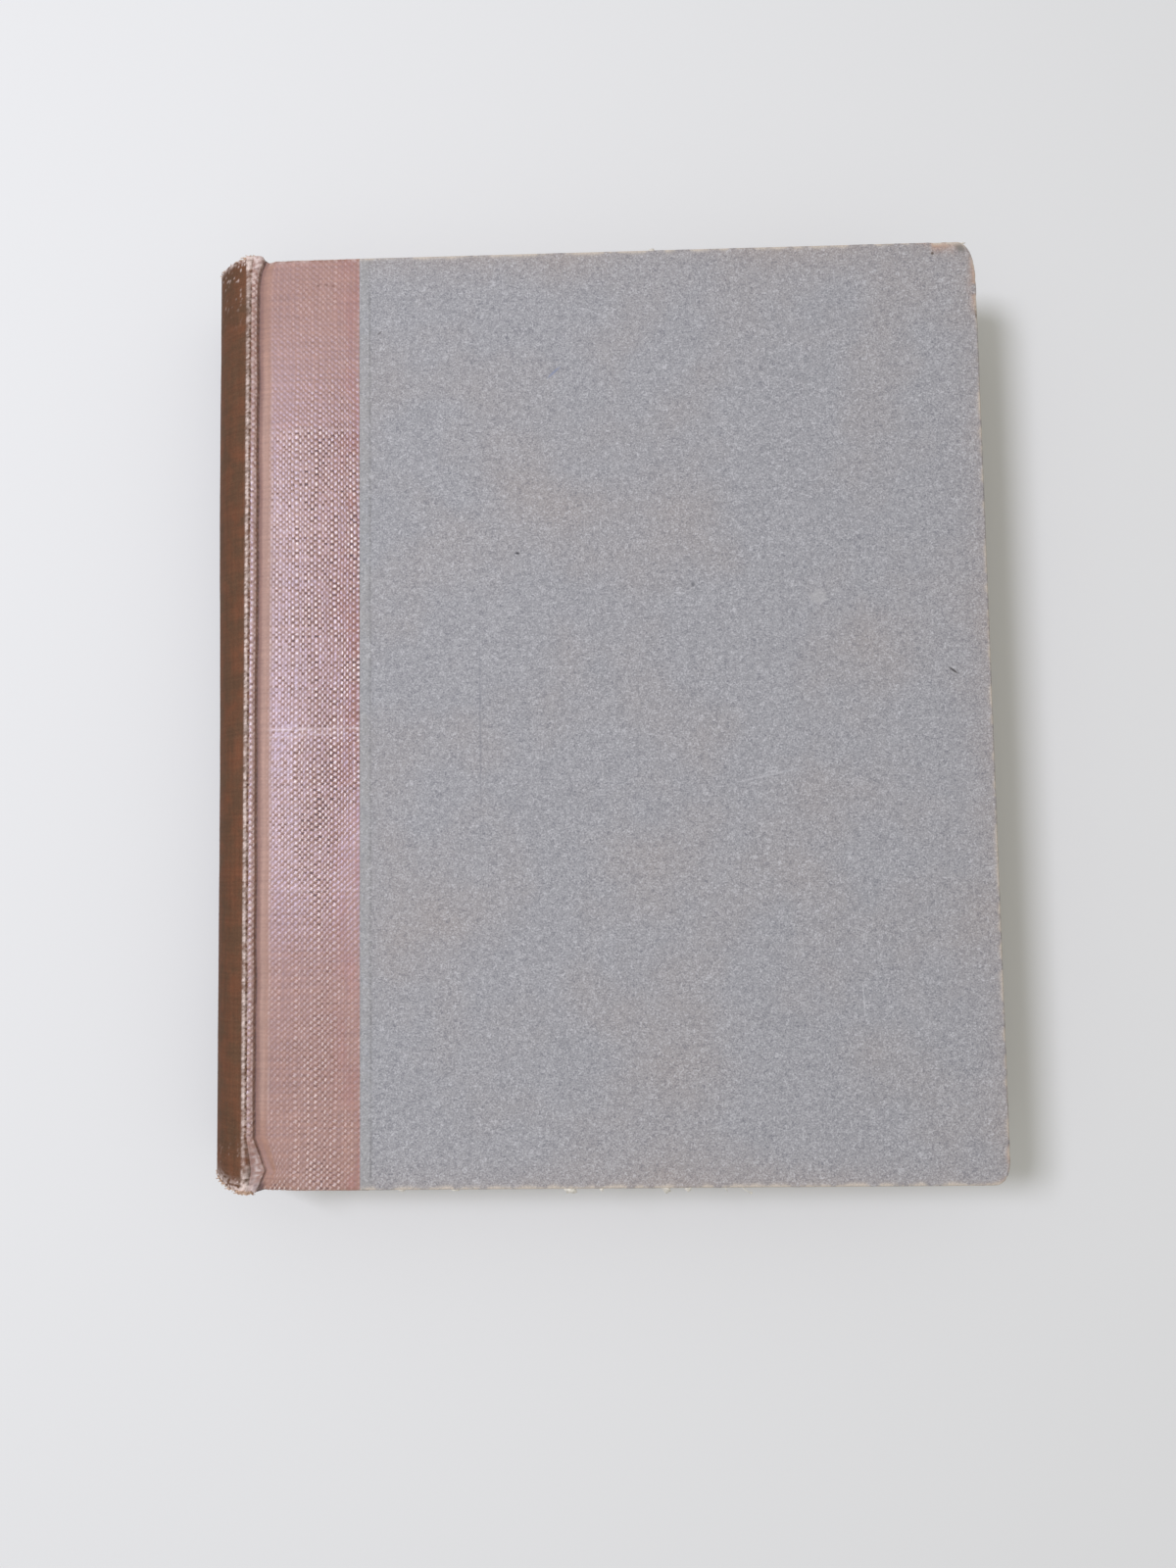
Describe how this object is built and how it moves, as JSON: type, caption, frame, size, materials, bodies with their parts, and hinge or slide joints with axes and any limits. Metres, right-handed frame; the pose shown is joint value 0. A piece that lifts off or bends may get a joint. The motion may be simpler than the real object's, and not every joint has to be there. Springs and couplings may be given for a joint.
{
  "type": "hardback book",
  "caption": "Quarter-bound hardback book with a rounded cloth spine, ridged joints, paper-covered boards hinged at the grooves and a page block with a hollow fore-edge.",
  "frame": {"origin": "under the middle of the closed book's bounding box, on the surface it lies on", "axes": "+X from the spine to the fore-edge, +Y from tail to head, +Z from the back cover up to the front cover"},
  "size_m": [0.1859, 0.222, 0.03],
  "materials": {
    "page_paper": "aged uncoated book paper, trimmed edges",
    "mull": "open cotton mull set in glue",
    "spine_card": "plain card",
    "book_cloth": "brown plain-weave book cloth, starch filled, slight gloss",
    "side_paper": "grey-blue mottled cover paper, matt",
    "strawboard": "grey-tan strawboard",
    "endpaper": "plain cream endpaper"
  },
  "bodies": {
    "block": {"text_block": "page_paper", "spine_lining": "mull", "spine_inlay": "spine_card", "spine_cloth": "book_cloth"},
    "front_cover": {"front_board": "strawboard", "front_cloth": "book_cloth", "front_paper_side": "side_paper", "front_pastedown": "endpaper"},
    "back_cover": {"back_board": "strawboard", "back_cloth": "book_cloth", "back_paper_side": "side_paper", "back_pastedown": "endpaper"}
  },
  "joints": [
    {"name": "front_hinge", "type": "hinge", "parent": "block", "child": "front_cover", "pos_m": [-0.08025, 0, 0.03], "axis": [0, -1, 0], "range_deg": [0, 180]},
    {"name": "back_hinge", "type": "hinge", "parent": "block", "child": "back_cover", "pos_m": [-0.08025, 0, 0], "axis": [0, 1, 0], "range_deg": [0, 180]}
  ]
}
